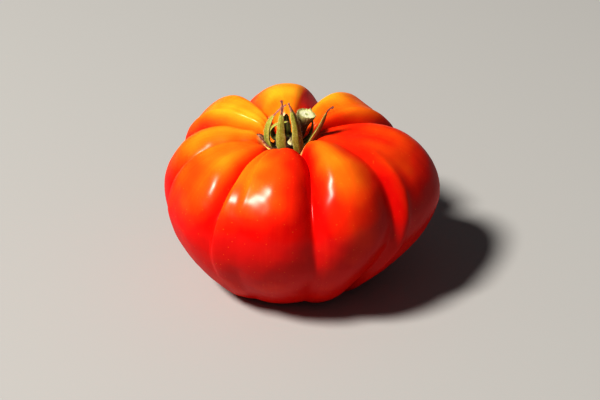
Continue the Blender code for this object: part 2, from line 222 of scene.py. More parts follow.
Sepal = namedtuple("Sepal", "name width dried route")
SEPALS = (
    Sepal("left", 0.0053, 0.62, (
        (-0.0042, -0.0014, 0.0564),
        (-0.0071, -0.0021, 0.0573),
        (-0.0081, -0.0018, 0.0612),
        (-0.0079, -0.0015, 0.0655),
        (-0.0061, -0.0013, 0.0695),
        (-0.0039, -0.0009, 0.0718),
        (-0.0024, -0.0003, 0.0732),
        (-0.0004, 0.0000, 0.0743),
    )),
    Sepal("front_left", 0.0045, 0.70, (
        (-0.0016, -0.0046, 0.0564),
        (-0.0024, -0.0062, 0.0574),
        (-0.0026, -0.0064, 0.0610),
        (-0.0026, -0.0062, 0.0650),
        (-0.0026, -0.0058, 0.0690),
        (-0.0023, -0.0048, 0.0735),
        (-0.0019, -0.0040, 0.0760),
        (-0.0024, -0.0034, 0.0783),
    )),
    Sepal("front_right", 0.0045, 0.79, (
        (0.0031, -0.0044, 0.0564),
        (0.0046, -0.0059, 0.0574),
        (0.0040, -0.0063, 0.0606),
        (0.0036, -0.0062, 0.0648),
        (0.0031, -0.0057, 0.0685),
        (0.0020, -0.0046, 0.0725),
        (0.0012, -0.0036, 0.0748),
        (0.0002, -0.0028, 0.0766),
    )),
    Sepal("right", 0.0044, 0.74, (
        (0.0048, -0.0024, 0.0564),
        (0.0074, -0.0030, 0.0580),
        (0.0094, -0.0030, 0.0612),
        (0.0113, -0.0030, 0.0643),
        (0.0128, -0.0030, 0.0674),
        (0.0141, -0.0030, 0.0706),
        (0.0151, -0.0030, 0.0732),
        (0.0163, -0.0030, 0.0744),
        (0.0178, -0.0030, 0.0749),
    )),
    Sepal("right_back", 0.0028, 0.80, (
        (0.0048, 0.0016, 0.0564),
        (0.0076, 0.0020, 0.0574),
        (0.0090, 0.0022, 0.0602),
        (0.0097, 0.0022, 0.0635),
        (0.0096, 0.0022, 0.0665),
        (0.0088, 0.0022, 0.0680),
    )),
    Sepal("back_right", 0.0028, 0.80, (
        (0.0036, 0.0040, 0.0564),
        (0.0050, 0.0058, 0.0575),
        (0.0058, 0.0064, 0.0605),
        (0.0060, 0.0064, 0.0640),
        (0.0054, 0.0060, 0.0668),
    )),
    Sepal("back", 0.0034, 0.97, (
        (0.0004, 0.0044, 0.0564),
        (-0.0001, 0.0064, 0.0575),
        (-0.0005, 0.0068, 0.0610),
        (-0.0006, 0.0062, 0.0648),
        (-0.0006, 0.0052, 0.0672),
    )),
    Sepal("back_left", 0.0031, 0.97, (
        (-0.0036, 0.0034, 0.0564),
        (-0.0060, 0.0046, 0.0574),
        (-0.0066, 0.0050, 0.0600),
        (-0.0052, 0.0048, 0.0624),
        (-0.0028, 0.0040, 0.0639),
        (0.0004, 0.0030, 0.0649),
    )),
    Sepal("withered", 0.0042, 0.92, (
        (-0.0044, -0.0022, 0.0564),
        (-0.0070, -0.0028, 0.0576),
        (-0.0088, -0.0029, 0.0598),
        (-0.0105, -0.0029, 0.0622),
        (-0.0120, -0.0030, 0.0628),
    )),
)

# The stem's stub: place of its middle and radius, from its foot on the hub to the knuckle where it was cut
STEM_SIDES = 96
STEM_RINGS = 90
STEM_STATIONS = (
    (0.0026, 0.0, 0.0, 0.0028),
    (0.0034, 0.0, 0.0014, 0.0024),
    (0.0047, 0.0, 0.0050, 0.0022),
    (0.0056, 0.0, 0.0080, 0.0023),
    (0.0063, 0.0, 0.0100, 0.0030),
    (0.0069, 0.0, 0.0116, 0.0036),
    (0.0074, 0.0, 0.0130, 0.0036),
)
CUT_LEAN = 12.0
CUT_DISH = 0.0004
CUT_RINGS = 20
CUT_RIM = 0.94  # share of the radius at the cut face's first ring
CUT_MIDDLE = 0.04  # and at its last
CUT_GRAIN = ((0.00007, 0.0009, 81),)
PITH_DIP = 0.0002
BARK_GRAIN = ((0.00006, 0.0013, 82),)
RAGGED_FROM = 0.93  # share of the stub's length above which its rim is ragged
RIM_WAVES = ((0.00008, 13, 1.0), (0.00006, 29, 0.0))
SPIKE_AZIMUTH = 66.0
SPIKE_WIDTH = 26.0
SPIKE_HEIGHT = 0.0009
NOTCH_AZIMUTH = 20.0
NOTCH_WIDTH = 22.0
NOTCH_DEPTH = 0.0005

# The down. Its hairs are a few times thicker than real ones, so that they show.
HAIR_RADIUS = 0.00003
HAIR_LEAN = 0.5
CALYX_HAIRS = {"Hairs per area": 2.0e6, "Hair length": 0.0009, "Seed": 5}
STALK_HAIRS = {"Hairs per area": 3.0e6, "Hair length": 0.0008, "Seed": 6}

# The camera: the photograph's view, 33 degrees above the horizon, at 0.4 mm to a pixel of its 600
CAMERA_ELEVATION = 33.0
CAMERA_DISTANCE = 0.620
AIM_HEIGHT = 0.033
AIM_RIGHT = 0.0048
AIM_DOWN = 0.0021
FRAME_WIDTH = 0.240
SENSOR = 36.0

# The light, from the upper left and a little in front, and the floor
KEY_DIRECTION = (-0.536, -0.273, 0.799)
KEY_DISTANCE = 3.0
KEY_SIZE = 0.68
KEY_POWER = 178.0
KEY_COLOUR = (1.0, 0.97, 0.92)
SKY_COLOUR = (0.93, 0.96, 1.0, 1.0)
SKY_STRENGTH = 0.10
VIEW_GAMMA = 0.80
FLOOR_REACH = 4.0


def linear(code):
    """A colour from its sRGB hex code."""
    parts = [int(code[i:i + 2], 16) / 255 for i in (1, 3, 5)]
    return (*(c / 12.92 if c <= 0.04045 else ((c + 0.055) / 1.055) ** 2.4 for c in parts), 1.0)


def smooth(value, low, high):
    """0 up to low, 1 from high on, with no kink between."""
    share = np.clip((value - low) / (high - low), 0.0, 1.0)
    return share * share * (3.0 - 2.0 * share)


def spline(points, shares):
    """Points, at shares of its run, of the smooth curve from the first control point to the last."""
    control = np.asarray(points, float)
    control = np.vstack([2 * control[0] - control[1], control, 2 * control[-1] - control[-2]])
    spans = len(control) - 3
    run = np.clip(np.asarray(shares, float), 0.0, 1.0) * spans
    span = np.minimum(run.astype(int), spans - 1)
    f = (run - span)[:, None]
    weights = ((1 - f) ** 3, 3 * f**3 - 6 * f**2 + 4, -3 * f**3 + 3 * f**2 + 3 * f + 1, f**3)
    return sum(weight * control[span + i] for i, weight in enumerate(weights)) / 6


def around(azimuth, centres, values):
    """A value that goes smoothly from lobe to lobe round the fruit."""
    middles = np.concatenate([centres - 360, centres, centres + 360])
    levels = np.tile(values, 3)
    k = np.searchsorted(middles, azimuth) - 1
    share = smooth((azimuth - middles[k]) / (middles[k + 1] - middles[k]), 0.0, 1.0)
    return levels[k] * (1 - share) + levels[k + 1] * share


def degrees_from(azimuth, middle):
    """How far an azimuth lies from the middle, from -180 to 180 degrees."""
    return (azimuth - middle + 180) % 360 - 180


def wander(points, wavelength, seed, waves=9):
    """A smooth random value, near -1 to 1, at each point, that swings over about a wavelength."""
    draw = np.random.default_rng(seed)
    total = np.zeros(points.shape[:-1])
    for _ in range(waves):
        direction = draw.normal(size=3)
        direction *= draw.uniform(0.7, 1.4) / np.linalg.norm(direction)
        total += np.sin(points @ direction * 2 * np.pi / wavelength + draw.uniform(0, 2 * np.pi))
    return total / np.sqrt(waves)


def swings(points, rows):
    """The sum of random swings, from rows of height, wavelength and seed."""
    return sum(height * wander(points, wavelength, seed) for height, wavelength, seed in rows)


def ripples(angle, rows):
    """The sum of regular waves, from rows of height, number in a full turn and phase."""
    return sum(height * np.sin(angle * number + phase) for height, number, phase in rows)


def grid_normals(points):
    """Outward unit normals of a grid of rings that runs down from the stem, each ring anticlockwise."""
    around_ring = np.roll(points, -1, axis=1) - np.roll(points, 1, axis=1)
    down = np.gradient(points, axis=0)
    normal = np.cross(down, around_ring)
    return normal / (np.linalg.norm(normal, axis=2, keepdims=True) + 1e-12)


def make_object(name, points, faces, materials, fields=None, face_materials=None):
    """A smooth mesh object, with a float or vector attribute for each field."""
    mesh = bpy.data.meshes.new(name)
    mesh.from_pydata([tuple(point) for point in points], [], faces)
    for material in materials:
        mesh.materials.append(material)
    for key, values in (fields or {}).items():
        if values.ndim == 1:
            mesh.attributes.new(key, "FLOAT", "POINT").data.foreach_set("value", values)
        else:
            mesh.attributes.new(key, "FLOAT_VECTOR", "POINT").data.foreach_set("vector", values.ravel())
    if face_materials is not None:
        mesh.polygons.foreach_set("material_index", face_materials)
    mesh.shade_smooth()
    mesh.update()
    made = bpy.data.objects.new(name, mesh)
    bpy.context.scene.collection.objects.link(made)
    return made


def tube_faces(ring_count, sides, first=0):
    """Faces of a tube whose points are numbered ring by ring, with a pole before and one after them."""
    start = first
    base = first + 1
    end = base + ring_count * sides
    faces = []
    for i in range(sides):
        j = (i + 1) % sides
        faces.append((start, base + i, base + j))
    for ring in range(ring_count - 1):
        low = base + ring * sides
        high = low + sides
        for i in range(sides):
            j = (i + 1) % sides
            faces.append((low + i, high + i, high + j, low + j))
    last = base + (ring_count - 1) * sides
    for i in range(sides):
        j = (i + 1) % sides
        faces.append((last + j, last + i, end))
    return faces


def with_poles(grid, start, end):
    """The grid's values ring by ring, with one value before and one after."""
    flat = grid.reshape(-1, *grid.shape[2:])
    return np.concatenate([[start], flat, [end]])


# Materials


def add_node(tree, kind, inputs=(), **settings):
    """Adds a node. Each input is set to a value, or linked if the value is another node's output."""
    made = tree.nodes.new(kind)
    for key, value in settings.items():
        setattr(made, key, value)
    for key, value in dict(inputs).items():
        if isinstance(value, bpy.types.NodeSocket):
            tree.links.new(value, made.inputs[key])
        else:
            made.inputs[key].default_value = value
    return made


def new_material(name):
    """A material with only its output, and that output's tree."""
    material = bpy.data.materials.new(name)
    material.use_nodes = True
    tree = material.node_tree
    tree.nodes.clear()
    return material, tree


def set_stops(node, stops):
    """Sets a colour ramp's stops from pairs of place and sRGB hex code."""
    elements = node.color_ramp.elements
    while len(elements) < len(stops):
        elements.new(0.5)
    for element, (place, code) in zip(elements, stops):
        element.position = place
        element.color = linear(code)
    return node


def waxy_skin():
    """Tomato skin: a thin clear cuticle of wax over pigmented flesh, glossy, with the flesh glowing a little.

    Yellow and orange shoulders turn to red below, in blotches about 9 mm wide and faint streaks from stem to
    blossom. The yellow top is partly painted light, the redder grooves are painted shade, and so is part of
    the red down the back lobe's right flank. Under the gloss lie pale dots, one to 1.6 mm or so and 0.4 mm
    wide, a little coarser than real ones so that they show. Shallow dimples are 2.4 mm wide, and the scar's
    cork has a grain of 0.7 mm.
    """
    material, tree = new_material("waxy_tomato_skin")
    place = add_node(tree, "ShaderNodeTexCoord").outputs["Object"]
    ripeness_and_painted_light, cream, scar = (add_node(tree, "ShaderNodeAttribute", attribute_name=name).outputs["Fac"]
                             for name in ("ripeness_and_painted_light", "cream", "scar"))
    meridian = add_node(tree, "ShaderNodeAttribute", attribute_name="meridian_map").outputs["Vector"]

    blotches = add_node(tree, "ShaderNodeTexNoise", {"Vector": place, "Scale": 110.0, "Detail": 4.0})
    streaks = add_node(tree, "ShaderNodeTexNoise", {"Vector": meridian, "Scale": 700.0, "Detail": 3.0})
    uneven = add_node(tree, "ShaderNodeMath", {0: blotches.outputs["Fac"], 1: 0.22, 2: -0.11},
                      operation="MULTIPLY_ADD")
    streaky = add_node(tree, "ShaderNodeMath", {0: streaks.outputs["Fac"], 1: 0.10, 2: -0.05},
                       operation="MULTIPLY_ADD")
    varied = add_node(tree, "ShaderNodeMath", {0: uneven.outputs[0], 1: streaky.outputs[0]})
    ripe = add_node(tree, "ShaderNodeMath", {0: ripeness_and_painted_light, 1: varied.outputs[0]}, use_clamp=True)
    flesh = set_stops(add_node(tree, "ShaderNodeValToRGB", {"Fac": ripe.outputs[0]}), (
        (0.00, "#FAA526"),
        (0.25, "#F87D16"),
        (0.50, "#F4580E"),
        (0.75, "#E82E0A"),
        (1.00, "#CD0C05"),
    ))

    cells = add_node(tree, "ShaderNodeTexVoronoi", {"Vector": place, "Scale": 620.0, "Randomness": 1.0})
    dots = add_node(tree, "ShaderNodeMapRange", {"Value": cells.outputs["Distance"], "From Min": 0.07,
                                                  "From Max": 0.17, "To Min": 1.0, "To Max": 0.0})
    chosen = add_node(tree, "ShaderNodeSeparateColor", {"Color": cells.outputs["Color"]})
    some = add_node(tree, "ShaderNodeMapRange", {"Value": chosen.outputs["Red"], "From Min": 0.45,
                                                 "From Max": 1.0, "To Min": 0.0, "To Max": 0.30})
    speckle = add_node(tree, "ShaderNodeMath", {0: dots.outputs["Result"], 1: some.outputs["Result"]},
                       operation="MULTIPLY")
    speckled = add_node(tree, "ShaderNodeMix", {0: speckle.outputs[0], 6: flesh.outputs["Color"],
                                                7: linear("#FFB23C")}, data_type="RGBA")
    creamed = add_node(tree, "ShaderNodeMix", {0: cream, 6: speckled.outputs[2], 7: linear("#FFE08A")},
                       data_type="RGBA")
    cork = add_node(tree, "ShaderNodeTexNoise", {"Vector": place, "Scale": 1500.0, "Detail": 5.0})
    cork_colour = set_stops(add_node(tree, "ShaderNodeValToRGB", {"Fac": cork.outputs["Fac"]}), (
        (0.30, "#4A2C14"),
        (0.70, "#B08A50"),
    ))
    coloured = add_node(tree, "ShaderNodeMix", {
        0: scar, 6: creamed.outputs[2], 7: cork_colour.outputs["Color"]}, data_type="RGBA")

    dimples = add_node(tree, "ShaderNodeTexNoise", {"Vector": place, "Scale": 420.0, "Detail": 2.0})
    bump = add_node(tree, "ShaderNodeBump", {"Height": dimples.outputs["Fac"], "Strength": 0.10,
                                             "Distance": 0.0003})
    dulled = add_node(tree, "ShaderNodeMapRange", {"Value": scar, "To Min": 0.29, "To Max": 0.75})

    # The wax coat alone gives the gloss, because the flesh under it would mirror the floor at the edges
    shader = add_node(tree, "ShaderNodeBsdfPrincipled", {
        "Base Color": coloured.outputs[2],
        "Roughness": dulled.outputs["Result"],
        "IOR": 1.46,
        "Specular IOR Level": 0.0,
        "Subsurface Weight": 0.15,
        "Subsurface Radius": (1.0, 0.28, 0.08),
        "Subsurface Scale": 0.004,
        "Coat Weight": 0.32,
        "Coat Roughness": 0.25,
        "Normal": bump.outputs["Normal"],
    })
    add_node(tree, "ShaderNodeOutputMaterial", {"Surface": shader.outputs["BSDF"]})
    return material


def haired_sepal():
    """A drying sepal: tough leaf tissue, matt, with a down of fine hairs that lights its edges.

    Olive green with painted highlights along its edges, and painted shade on its inner face, near its root
    and, in brown, on the sides turned from the light; papery where its tip has dried, with a mottle of 0.7 mm
    and fibres along it.
    """
    material, tree = new_material("drying_sepal")
    place = add_node(tree, "ShaderNodeTexCoord").outputs["Object"]
    dryness, lit, painted_shade = (add_node(tree, "ShaderNodeAttribute", attribute_name=name).outputs["Fac"]
                            for name in ("dryness", "pallor_and_painted_light", "painted_shade"))
    fibres = add_node(tree, "ShaderNodeAttribute", attribute_name="fibre_map").outputs["Vector"]
    mottle = add_node(tree, "ShaderNodeTexNoise", {"Vector": place, "Scale": 1400.0, "Detail": 6.0})
    lines = add_node(tree, "ShaderNodeTexNoise", {"Vector": fibres, "Scale": 3200.0, "Detail": 4.0})
    mixed = add_node(tree, "ShaderNodeMath", {0: mottle.outputs["Fac"], 1: lines.outputs["Fac"]})
    shifted = add_node(tree, "ShaderNodeMath", {0: mixed.outputs[0], 1: 0.55, 2: -0.55},
                       operation="MULTIPLY_ADD")
    # The tone holds painted light: highlights on the edges, and shade on the inner face and near the root
    tone = add_node(tree, "ShaderNodeMath", {0: shifted.outputs[0], 1: lit}, use_clamp=True)
    green = set_stops(add_node(tree, "ShaderNodeValToRGB", {"Fac": tone.outputs[0]}), (
        (0.00, "#2A1C08"),
        (0.30, "#5C5E18"),
        (0.60, "#989C38"),
        (1.00, "#D6D88A"),
    ))
    # Painted shade: dark browns for the sides turned from the light
    shade_brown = set_stops(add_node(tree, "ShaderNodeValToRGB", {"Fac": tone.outputs[0]}), (
        (0.00, "#241406"),
        (0.50, "#5C4214"),
        (1.00, "#8E742C"),
    ))
    leaf = add_node(tree, "ShaderNodeMix", {0: painted_shade, 6: green.outputs["Color"], 7: shade_brown.outputs["Color"]},
                    data_type="RGBA")
    brown = set_stops(add_node(tree, "ShaderNodeValToRGB", {"Fac": tone.outputs[0]}), (
        (0.00, "#34120E"),
        (0.50, "#7C4036"),
        (1.00, "#D8A890"),
    ))
    coloured = add_node(tree, "ShaderNodeMix", {0: dryness, 6: leaf.outputs[2], 7: brown.outputs["Color"]},
                        data_type="RGBA")
    bump = add_node(tree, "ShaderNodeBump", {"Height": mixed.outputs[0], "Strength": 0.5,
                                             "Distance": 0.00012})
    shader = add_node(tree, "ShaderNodeBsdfPrincipled", {
        "Base Color": coloured.outputs[2],
        "Roughness": 0.72,
        "IOR": 1.42,
        "Subsurface Weight": 0.08,
        "Subsurface Radius": (0.6, 0.8, 0.2),
        "Subsurface Scale": 0.001,
        "Sheen Weight": 0.20,
        "Sheen Roughness": 0.45,
        "Sheen Tint": linear("#F2F0C4"),
        "Normal": bump.outputs["Normal"],
    })
    add_node(tree, "ShaderNodeOutputMaterial", {"Surface": shader.outputs["BSDF"]})
    return material


def stalk_bark():
    """The green rind of a fruit stalk, drying: matt and ribbed.

    The foot is pale and the knuckle a greyish olive. The shaft's dark brown is painted shade, for the sepals'
    shadow over it. All are mottled over about 0.6 mm.
    """
    material, tree = new_material("drying_stalk_rind")
    place = add_node(tree, "ShaderNodeTexCoord").outputs["Object"]
    height = add_node(tree, "ShaderNodeAttribute", attribute_name="along").outputs["Fac"]
    mottle = add_node(tree, "ShaderNodeTexNoise", {"Vector": place, "Scale": 1600.0, "Detail": 6.0})
    shifted = add_node(tree, "ShaderNodeMath", {0: mottle.outputs["Fac"], 1: 0.24, 2: -0.12},
                       operation="MULTIPLY_ADD")
    tone = add_node(tree, "ShaderNodeMath", {0: shifted.outputs[0], 1: height}, use_clamp=True)
    # Painted shade: the shaft's dark browns, where the sepals shadow it
    colour = set_stops(add_node(tree, "ShaderNodeValToRGB", {"Fac": tone.outputs[0]}), (
        (0.05, "#DDD3A2"),
        (0.12, "#C2B27A"),
        (0.20, "#34160A"),
        (0.60, "#5A3014"),
        (0.78, "#6E6A38"),
        (1.00, "#A09E68"),
    ))
    bump = add_node(tree, "ShaderNodeBump", {"Height": mottle.outputs["Fac"], "Strength": 0.6,
                                             "Distance": 0.00015})
    shader = add_node(tree, "ShaderNodeBsdfPrincipled", {
        "Base Color": colour.outputs["Color"],
        "Roughness": 0.78,
        "IOR": 1.42,
        "Sheen Weight": 0.12,
        "Sheen Roughness": 0.5,
        "Sheen Tint": linear("#E8E6CC"),
        "Normal": bump.outputs["Normal"],
    })
    add_node(tree, "ShaderNodeOutputMaterial", {"Surface": shader.outputs["BSDF"]})
    return material


def cut_pulp():
    """The cut face of a green stalk: pale wet pith with a green ring and middle, and a grain of 0.4 mm."""
    material, tree = new_material("cut_stalk_pith")
    place = add_node(tree, "ShaderNodeTexCoord").outputs["Object"]
    radius = add_node(tree, "ShaderNodeAttribute", attribute_name="cut_radius").outputs["Fac"]
    grain = add_node(tree, "ShaderNodeTexNoise", {"Vector": place, "Scale": 2600.0, "Detail": 5.0})
    shifted = add_node(tree, "ShaderNodeMath", {0: grain.outputs["Fac"], 1: 0.50, 2: -0.25},
                       operation="MULTIPLY_ADD")
    tone = add_node(tree, "ShaderNodeMath", {0: shifted.outputs[0], 1: radius}, use_clamp=True)
    colour = set_stops(add_node(tree, "ShaderNodeValToRGB", {"Fac": tone.outputs[0]}), (
        (0.00, "#8C9454"),
        (0.16, "#B8BC84"),
        (0.28, "#DAD8BA"),
        (0.70, "#D6D4B0"),
        (0.86, "#C6C890"),
        (1.00, "#98985C"),
    ))
    bump = add_node(tree, "ShaderNodeBump", {"Height": grain.outputs["Fac"], "Strength": 0.7,
                                             "Distance": 0.00015})
    shader = add_node(tree, "ShaderNodeBsdfPrincipled", {
        "Base Color": colour.outputs["Color"],
        "Roughness": 0.5,
        "IOR": 1.38,
        "Subsurface Weight": 0.25,
        "Subsurface Radius": (0.9, 0.9, 0.5),
        "Subsurface Scale": 0.0012,
        "Normal": bump.outputs["Normal"],
    })
    add_node(tree, "ShaderNodeOutputMaterial", {"Surface": shader.outputs["BSDF"]})
    return material


def plant_hair():
    """Plant hairs: clear, pale and glossy, a little yellower in places."""
    material, tree = new_material("clear_plant_hair")
    place = add_node(tree, "ShaderNodeTexCoord").outputs["Object"]
    drift = add_node(tree, "ShaderNodeTexNoise", {"Vector": place, "Scale": 300.0})
    colour = set_stops(add_node(tree, "ShaderNodeValToRGB", {"Fac": drift.outputs["Fac"]}), (
        (0.3, "#B9B184"),
        (0.7, "#EEE9CC"),
    ))
    shader = add_node(tree, "ShaderNodeBsdfPrincipled", {
        "Base Color": colour.outputs["Color"],
        "Roughness": 0.4,
        "IOR": 1.5,
    })
    add_node(tree, "ShaderNodeOutputMaterial", {"Surface": shader.outputs["BSDF"]})
    return material


def studio_floor():
    """Matt pale paper."""
    material, tree = new_material("pale_paper_floor")
    shader = add_node(tree, "ShaderNodeBsdfPrincipled", {"Base Color": linear("#A9A8A6"), "Roughness": 0.8})
    add_node(tree, "ShaderNodeOutputMaterial", {"Surface": shader.outputs["BSDF"]})
    return material


# The fruit


def skin_columns():
    """The lobe, and the share across it, of each column of points. Columns crowd towards the grooves."""
    lobes, shares = [], []
    for k, lobe in enumerate(LOBES):
        width = (LOBES[(k + 1) % len(LOBES)].groove - lobe.groove) % 360
        count = max(LEAST_COLUMNS, round(width / COLUMN_ANGLE))
        share = np.arange(count) / count
        lobes.append(np.full(count, k))
        shares.append(share - COLUMN_CROWDING * np.sin(2 * np.pi * share))
    return np.concatenate(lobes), np.concatenate(shares)


def meridian_shares(count):
    """Stations along the meridian, spaced between even steps of length and of the control points."""
    t = np.linspace(0.0, 1.0, 20 * count)
    radius, height, _ = spline(MERIDIAN, t).T
    length = np.concatenate([[0.0], np.cumsum(np.hypot(np.diff(radius), np.diff(height)))])
    pace = length / length[-1] + t
    return np.interp(np.linspace(0.0, pace[-1], count + 2)[1:-1], pace, t)


def skin_ring(t, lobe, across):
    """The skin's points at share t of the meridian, and each one's azimuth, groove depth and ripeness."""
    each = Lobe(*np.array(LOBES, float).T)
    before, (radius, height, depth), after = spline(MERIDIAN, (t - SLOPE_STEP, t, t + SLOPE_STEP))
    run, rise = (after - before)[:2] / np.hypot(*(after - before)[:2])
    low = smooth(t, *GROOVE_FLATTENING)
    turned = smooth(t, each.turn, each.turn + TURN_LENGTH)
    edge = each.groove * (1 - turned) + each.groove_low * turned
    out = smooth(t, *GROOVE_START)
    deep = (each.depth_top * (1 - out) + each.depth * out) * (1 - low) + each.depth_low * low
    following = (lobe + 1) % len(LOBES)
    width = (edge[following] - edge[lobe]) % 360
    azimuth = edge[lobe] + across * width

    half = width / 2
    crest = each.crest[lobe]
    near = half * np.where(across < crest, across / crest, (1 - across) / (1 - crest))
    softness = np.where(across < crest, each.softness[lobe], each.softness[following]) * (1 + low)
    near = half * (np.hypot(near, softness) - softness) / (np.hypot(half, softness) - softness)
    fall = np.clip(1 - near / half, 0, 1) ** each.roundness[lobe]
    arc = (1 - np.sqrt(1 - CREASE * fall)) / (1 - np.sqrt(1 - CREASE))
    share = smooth(across, 0.0, 1.0)
    drop = NARROW_DROP * (1 - smooth(width, *NARROW))
    share_deep = deep[lobe] * (1 - share) + deep[following] * share
    groove = (drop + (1 - drop) * arc) * share_deep * depth

    centres = edge + (np.roll(edge, -1) - edge) % 360 / 2
    parts = (each.reach, each.crown, each.foot)
    reach, crown, foot = (around(azimuth, centres, part) - 1 for part in parts)
    ripe = around(azimuth, centres, each.ripe)
    reach_share = smooth(radius, *(REACH_TOP if t < 0.5 else REACH_LOW))
    crown_share = smooth(height, *CROWN_RISE) * smooth(radius, *CROWN_RING)
    distance = radius * (1 + reach * reach_share) * (1 + foot * smooth(t, *FOOT_TURN)) + rise * groove
    level = height * (1 + crown * crown_share) - run * groove
    angle = np.radians(azimuth)
    points = np.stack([distance * np.cos(angle), distance * np.sin(angle), level], axis=1)
    return points, azimuth, fall * np.minimum(share_deep, 1.0), ripe


def make_skin(material):
    """The whole skin, with its dents, the creases round the calyx, and the corky scar at the blossom end."""
    lobe, across = skin_columns()
    stations = meridian_shares(SKIN_RINGS)
    rows = [skin_ring(t, lobe, across) for t in stations]
    points, azimuth, groove, shoulder = (np.array(part) for part in zip(*rows))
    radius = np.hypot(points[:, :, 0], points[:, :, 1])
    height = points[:, :, 2]
    top = stations[:, None] < 0.5
    angle = np.radians(azimuth)

    # Dents as deep as 0.14 mm, fine ribs where the skin gathers round the calyx, and the scar's rough cork
    gathers = np.sin(angle * GATHERS + 1.5 * np.sin(angle * 5))
    gathers *= np.exp(-((radius - GATHER_RADIUS) / GATHER_SPREAD) ** 2)
    scar_edge = SCAR_RADIUS + ripples(angle, SCAR_WAVES)
    scar = np.where(top, 0.0, 1 - smooth(radius, scar_edge - SCAR_EDGE[0], scar_edge + SCAR_EDGE[1]))
    cork = scar * (CORK_HEIGHT + swings(points, CORK_GRAIN))
    rays = np.where(top, 0.0, np.exp(-(radius / RAY_REACH) ** 2))
    rays = rays * np.sin(angle * RAYS + 2 * np.sin(angle * 3))
    relief = swings(points, DENTS) + np.where(top, GATHER_HEIGHT, 0.0) * gathers + cork + RAY_HEIGHT * rays
    points = points + grid_normals(points) * relief[:, :, None]
    points[:, :, 2] = np.maximum(points[:, :, 2], 0.0)

    # Green shoulders ripen last, so the top is yellow or orange and the belly red. The lighter top is partly
    # painted light, where the light falls most
    late = LATE_DROP * (0.5 + 0.5 * np.cos(angle - np.radians(LATE_SIDE)))
    ripening_and_top_light = smooth(RED_FROM - late - height, 0.0, RED_OVER)
    # Painted shade: the skin is redder down in the grooves
    groove_shade = (GROOVE_SHADE_RED + GROOVE_SHADE_REDDER * shoulder) * groove
    ripeness_and_painted_light = shoulder + (1 - shoulder) * ripening_and_top_light + groove_shade + swings(points, PATCHES)
    # A red streak down the back lobe's right flank, turned from the light: partly the skin's own red, partly
    # painted shade
    from_shade_blush = np.abs(degrees_from(azimuth, SHADE_BLUSH_AZIMUTH))
    ripeness_and_painted_light += SHADE_BLUSH_RED * (1 - smooth(from_shade_blush, *SHADE_BLUSH_EDGE)) * smooth(radius, *SHADE_BLUSH_START)
    # The cream is the skin's own colour, left off the far side of the calyx, which lies in shade: painted
    # shade
    near_stem = 1 - smooth(radius + swings(points, CREAM_WANDER), *CREAM_RING)
    facing = smooth(np.cos(angle - np.radians(CREAM_SIDE)), *CREAM_FACING)
    cream = CREAM_SHARE * np.where(top, near_stem * facing, 0.0)
    streak_height = np.broadcast_to(STREAK_LENGTH * stations[:, None], angle.shape)
    meridian_map = np.stack([STREAK_RADIUS * np.cos(angle), STREAK_RADIUS * np.sin(angle), streak_height],
                            axis=2)

    start, end = (0.0, 0.0, CAVITY_FLOOR), (0.0, 0.0, BLOSSOM_HEIGHT)
    flat = with_poles(points, start, end)
    flat[:, :2] += STEM_AXIS
    low, high = (np.array(corner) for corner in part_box("fruit"))
    share = (flat - flat.min(axis=0)) / (flat.max(axis=0) - flat.min(axis=0))
    flat = low + share * (high - low)
    fields = {
        "ripeness_and_painted_light": with_poles(np.clip(ripeness_and_painted_light, 0.0, 1.0), CAVITY_RED, 1.0),
        "cream": with_poles(cream, CREAM_SHARE, 0.0),
        "scar": with_poles(scar, 0.0, 1.0),
        "meridian_map": with_poles(meridian_map, (0, 0, 0), (0, 0, STREAK_LENGTH)),
    }
    faces = tube_faces(SKIN_RINGS, len(lobe))
    return make_object("ribbed_skin", flat, faces, [material], fields)


# The calyx


def sepal_section(angle):
    """Across and lift of a sepal's section: a keel outside with a low midrib, and a channel inside."""
    across = np.cos(angle)
    up = np.sin(angle)
    furrows = FURROW_DEPTH * np.exp(-(((np.abs(across) - FURROW_PLACE) / FURROW_WIDTH) ** 2))
    rib = MIDRIB_HEIGHT * np.exp(-((across / MIDRIB_WIDTH) ** 2)) - furrows
    outside = BLADE_EDGE * np.abs(up) + KEEL_RISE * (1 - np.abs(across)) ** 0.8 + rib * np.abs(up)
    inside = -(np.abs(up) - CHANNEL_DEPTH * np.abs(up) ** 3)
    return across, np.where(up >= 0, outside, inside)


